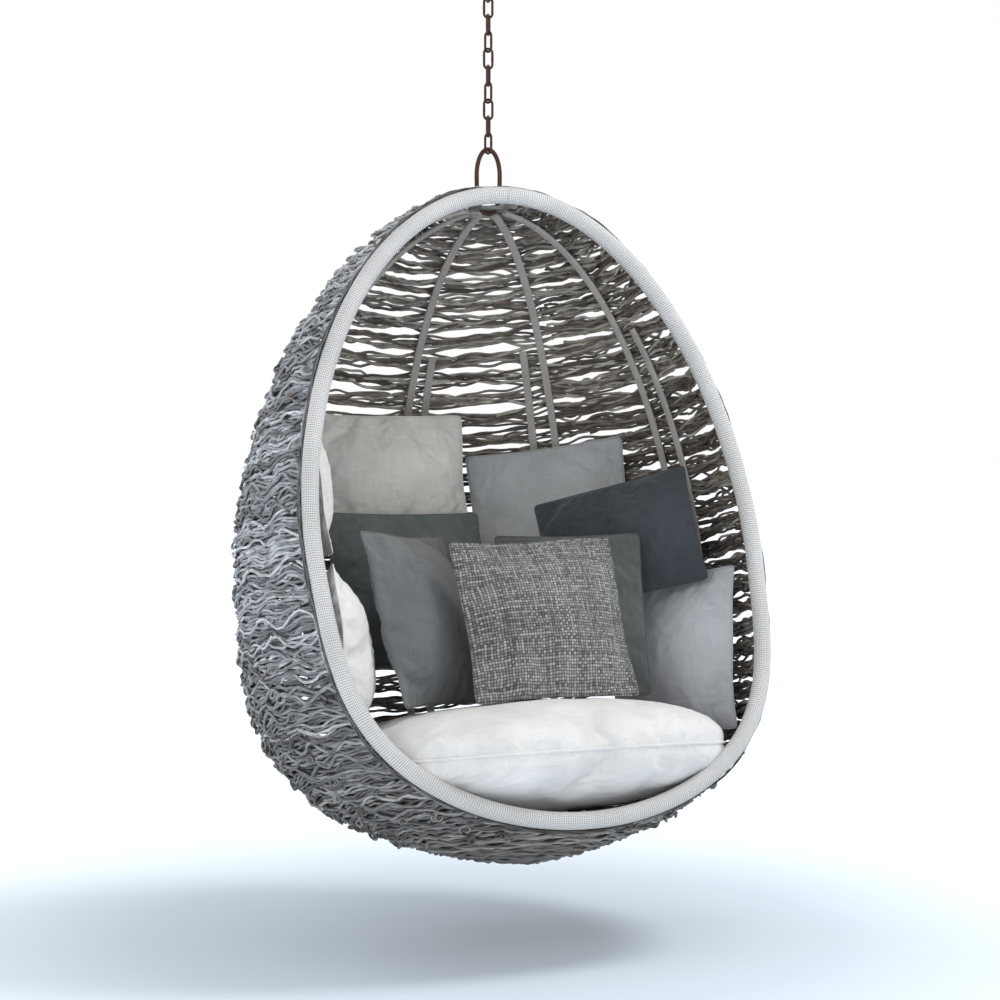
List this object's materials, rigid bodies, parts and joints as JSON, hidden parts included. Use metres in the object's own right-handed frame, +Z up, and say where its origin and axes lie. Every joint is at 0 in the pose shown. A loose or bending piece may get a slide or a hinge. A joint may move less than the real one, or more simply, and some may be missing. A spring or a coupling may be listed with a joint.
{
  "type": "hanging egg chair",
  "caption": "Egg-shaped hanging basket chair in woven grey strand with a cord-wrapped rim, hung by a link chain from a swivel ceiling plate, with a round seat cushion and scatter cushions.",
  "frame": {"origin": "centre of the flat top face of the ceiling plate, where it meets the ceiling", "axes": "+Z up along the chain, -Y out of the open front of the chair, +X to the sitter's left"},
  "size_m": [1.026, 0.9087, 1.8055],
  "materials": {
    "brown_steel": "dark bronze powder coat, satin",
    "zinc_steel": "zinc-plated, bright",
    "chain_steel": "dark bronze coat, slightly worn",
    "frame_metal": "grey-taupe powder coat",
    "rib_strip": "grey-taupe powder-coated flat strip",
    "rim_cord": "off-white flat outdoor cord, tightly wound",
    "wicker": "grey weathered round wicker strands",
    "seat_fabric": "pale grey outdoor canvas with piping",
    "cushion_sand": "warm light grey plain weave",
    "cushion_mid_blue": "mid blue-grey plain weave",
    "cushion_charcoal": "charcoal blue-grey plain weave",
    "cushion_cream": "cream cotton",
    "cushion_moss": "dark grey-green velvet-like",
    "cushion_slate": "slate grey plain weave",
    "cushion_white": "off-white cotton with side seam",
    "cushion_tweed": "grey basket-weave texture",
    "cushion_olive": "dark grey-green plain weave",
    "cushion_pale_blue": "pale blue-grey plain weave"
  },
  "bodies": {
    "ceiling_fitting": {"ceiling_plate": "brown_steel", "plate_screw_1": "zinc_steel", "plate_screw_2": "zinc_steel", "plate_screw_3": "zinc_steel", "plate_screw_4": "zinc_steel", "bearing_cap": "brown_steel", "lower_race": "zinc_steel", "ball_cage": "zinc_steel"},
    "swivel": {"upper_race": "zinc_steel", "swivel_nut": "zinc_steel", "eye_bolt": "chain_steel"},
    "link_01": {"chain_link_01": "chain_steel"},
    "link_02": {"chain_link_02": "chain_steel"},
    "link_03": {"chain_link_03": "chain_steel"},
    "link_04": {"chain_link_04": "chain_steel"},
    "link_05": {"chain_link_05": "chain_steel"},
    "link_06": {"chain_link_06": "chain_steel"},
    "link_07": {"chain_link_07": "chain_steel"},
    "link_08": {"chain_link_08": "chain_steel"},
    "link_09": {"chain_link_09": "chain_steel"},
    "ring": {"hanging_ring": "chain_steel"},
    "basket": {"base_plate": "frame_metal", "crown_plate": "frame_metal", "cushion_charcoal": "cushion_charcoal", "cushion_cream": "cushion_cream", "cushion_mid_blue": "cushion_mid_blue", "cushion_moss": "cushion_moss", "cushion_olive": "cushion_olive", "cushion_pale_blue": "cushion_pale_blue", "cushion_sand": "cushion_sand", "cushion_slate": "cushion_slate", "cushion_tweed": "cushion_tweed", "cushion_white": "cushion_white", "rib_left_038_0": "rib_strip", "rib_left_044_5": "rib_strip", "rib_left_077_5": "rib_strip", "rib_left_085_0": "rib_strip", "rib_left_130_0": "rib_strip", "rib_right_000_0": "rib_strip", "rib_right_005_5": "rib_strip", "rib_right_038_0": "rib_strip", "rib_right_044_5": "rib_strip", "rib_right_077_5": "rib_strip", "rib_right_085_0": "rib_strip", "rib_right_130_0": "rib_strip", "rib_right_180_0": "rib_strip", "rim_hoop": "frame_metal", "rim_wrap": "rim_cord", "seat_cushion": "seat_fabric", "weave_band_1": "wicker", "weave_band_2": "wicker", "weave_band_3": "wicker", "weave_band_4": "wicker", "weave_band_5": "wicker", "weave_band_6": "wicker", "weave_band_7": "wicker", "weave_dish": "wicker"}
  },
  "joints": [
    {"name": "swivel_turn", "type": "hinge", "parent": "ceiling_fitting", "child": "swivel", "pos_m": [0, 0, -0.03], "axis": [0, 0, 1], "continuous": true},
    {"name": "link_01_swing", "type": "hinge", "parent": "swivel", "child": "link_01", "pos_m": [0, 0, -0.075], "axis": [0.2079, 0.9781, 0], "range_deg": [-20, 20]},
    {"name": "link_02_swing", "type": "hinge", "parent": "link_01", "child": "link_02", "pos_m": [0, 0, -0.108], "axis": [0.9781, -0.2079, 0], "range_deg": [-12, 12]},
    {"name": "link_03_swing", "type": "hinge", "parent": "link_02", "child": "link_03", "pos_m": [0, 0, -0.1415], "axis": [0.6691, 0.7431, 0], "range_deg": [-12, 12]},
    {"name": "link_04_swing", "type": "hinge", "parent": "link_03", "child": "link_04", "pos_m": [0, 0, -0.175], "axis": [-0.309, 0.9511, 0], "range_deg": [-12, 12]},
    {"name": "link_05_swing", "type": "hinge", "parent": "link_04", "child": "link_05", "pos_m": [0, 0, -0.2085], "axis": [-0.9781, 0.2079, 0], "range_deg": [-12, 12]},
    {"name": "link_06_swing", "type": "hinge", "parent": "link_05", "child": "link_06", "pos_m": [0, 0, -0.242], "axis": [-0.6691, -0.7431, 0], "range_deg": [-12, 12]},
    {"name": "link_07_swing", "type": "hinge", "parent": "link_06", "child": "link_07", "pos_m": [0, 0, -0.2755], "axis": [0.309, -0.9511, 0], "range_deg": [-12, 12]},
    {"name": "link_08_swing", "type": "hinge", "parent": "link_07", "child": "link_08", "pos_m": [0, 0, -0.309], "axis": [0.9781, -0.2079, 0], "range_deg": [-12, 12]},
    {"name": "link_09_swing", "type": "hinge", "parent": "link_08", "child": "link_09", "pos_m": [0, 0, -0.3425], "axis": [0.6691, 0.7431, 0], "range_deg": [-12, 12]},
    {"name": "ring_swing", "type": "hinge", "parent": "link_09", "child": "ring", "pos_m": [0, 0, -0.376], "axis": [-0.309, 0.9511, 0], "range_deg": [-15, 15]},
    {"name": "basket_rock", "type": "hinge", "parent": "ring", "child": "basket", "pos_m": [0, 0, -0.4952], "axis": [1, 0, 0], "range_deg": [-5, 5]}
  ]
}
